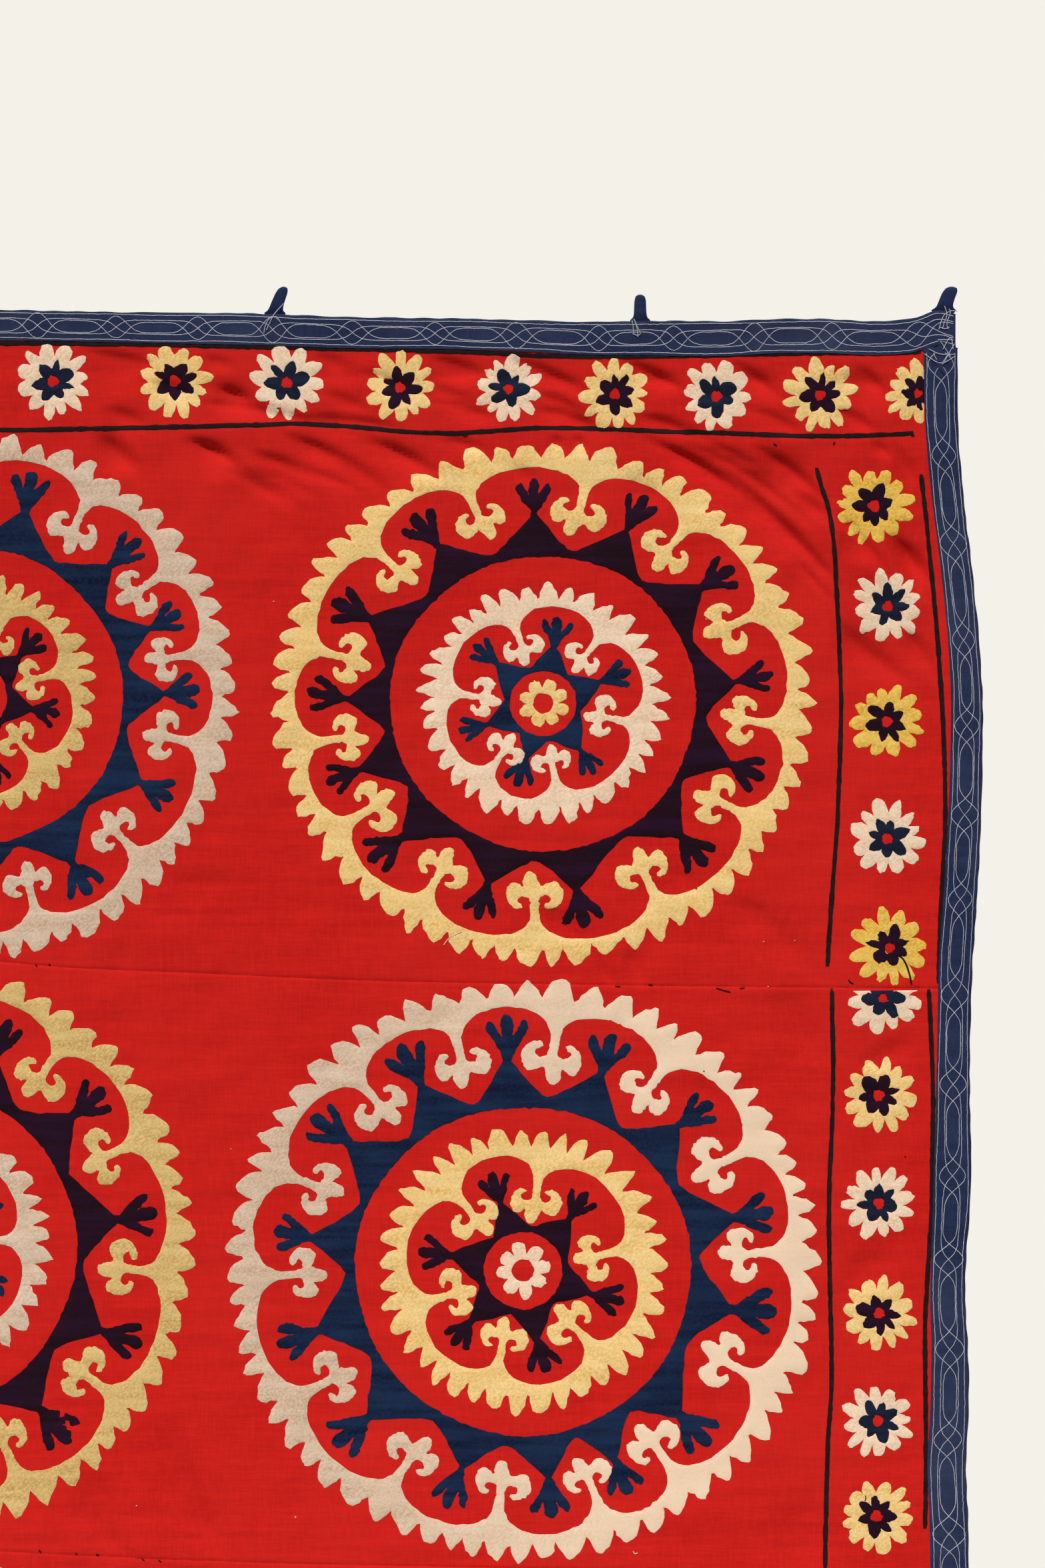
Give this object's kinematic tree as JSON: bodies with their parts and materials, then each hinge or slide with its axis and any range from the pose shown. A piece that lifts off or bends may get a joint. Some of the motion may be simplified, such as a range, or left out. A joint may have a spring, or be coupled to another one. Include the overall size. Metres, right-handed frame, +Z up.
{
  "type": "suzani embroidered wall hanging",
  "caption": "Embroidered cotton wall hanging of strips sewn edge to edge, bound in blue on all sides, with tape loops along its top edge.",
  "frame": {"origin": "middle of the cloth's top edge, at x = 0 on the middle of the cloth's thickness", "axes": "+Z up along the height as it hangs, +X to the viewer's right, -Y out of the embroidered face"},
  "size_m": [1.5851, 0.0262, 2.1198],
  "materials": {
    "red_cotton": "red cotton sateen, matt, with embroidery in pale yellow, off-white, navy and purple",
    "blue_binding": "blue cotton strip quilted with pale thread, slightly worn",
    "blue_tape": "blue woven tape, matt"
  },
  "bodies": {
    "root": {"panel_top": "red_cotton", "panel_middle": "red_cotton", "panel_bottom": "red_cotton", "binding_top": "blue_binding", "binding_bottom": "blue_binding", "binding_left": "blue_binding", "binding_right": "blue_binding", "loop_1": "blue_tape", "loop_2": "blue_tape", "loop_3": "blue_tape", "loop_4": "blue_tape", "loop_5": "blue_tape"}
  },
  "joints": []
}
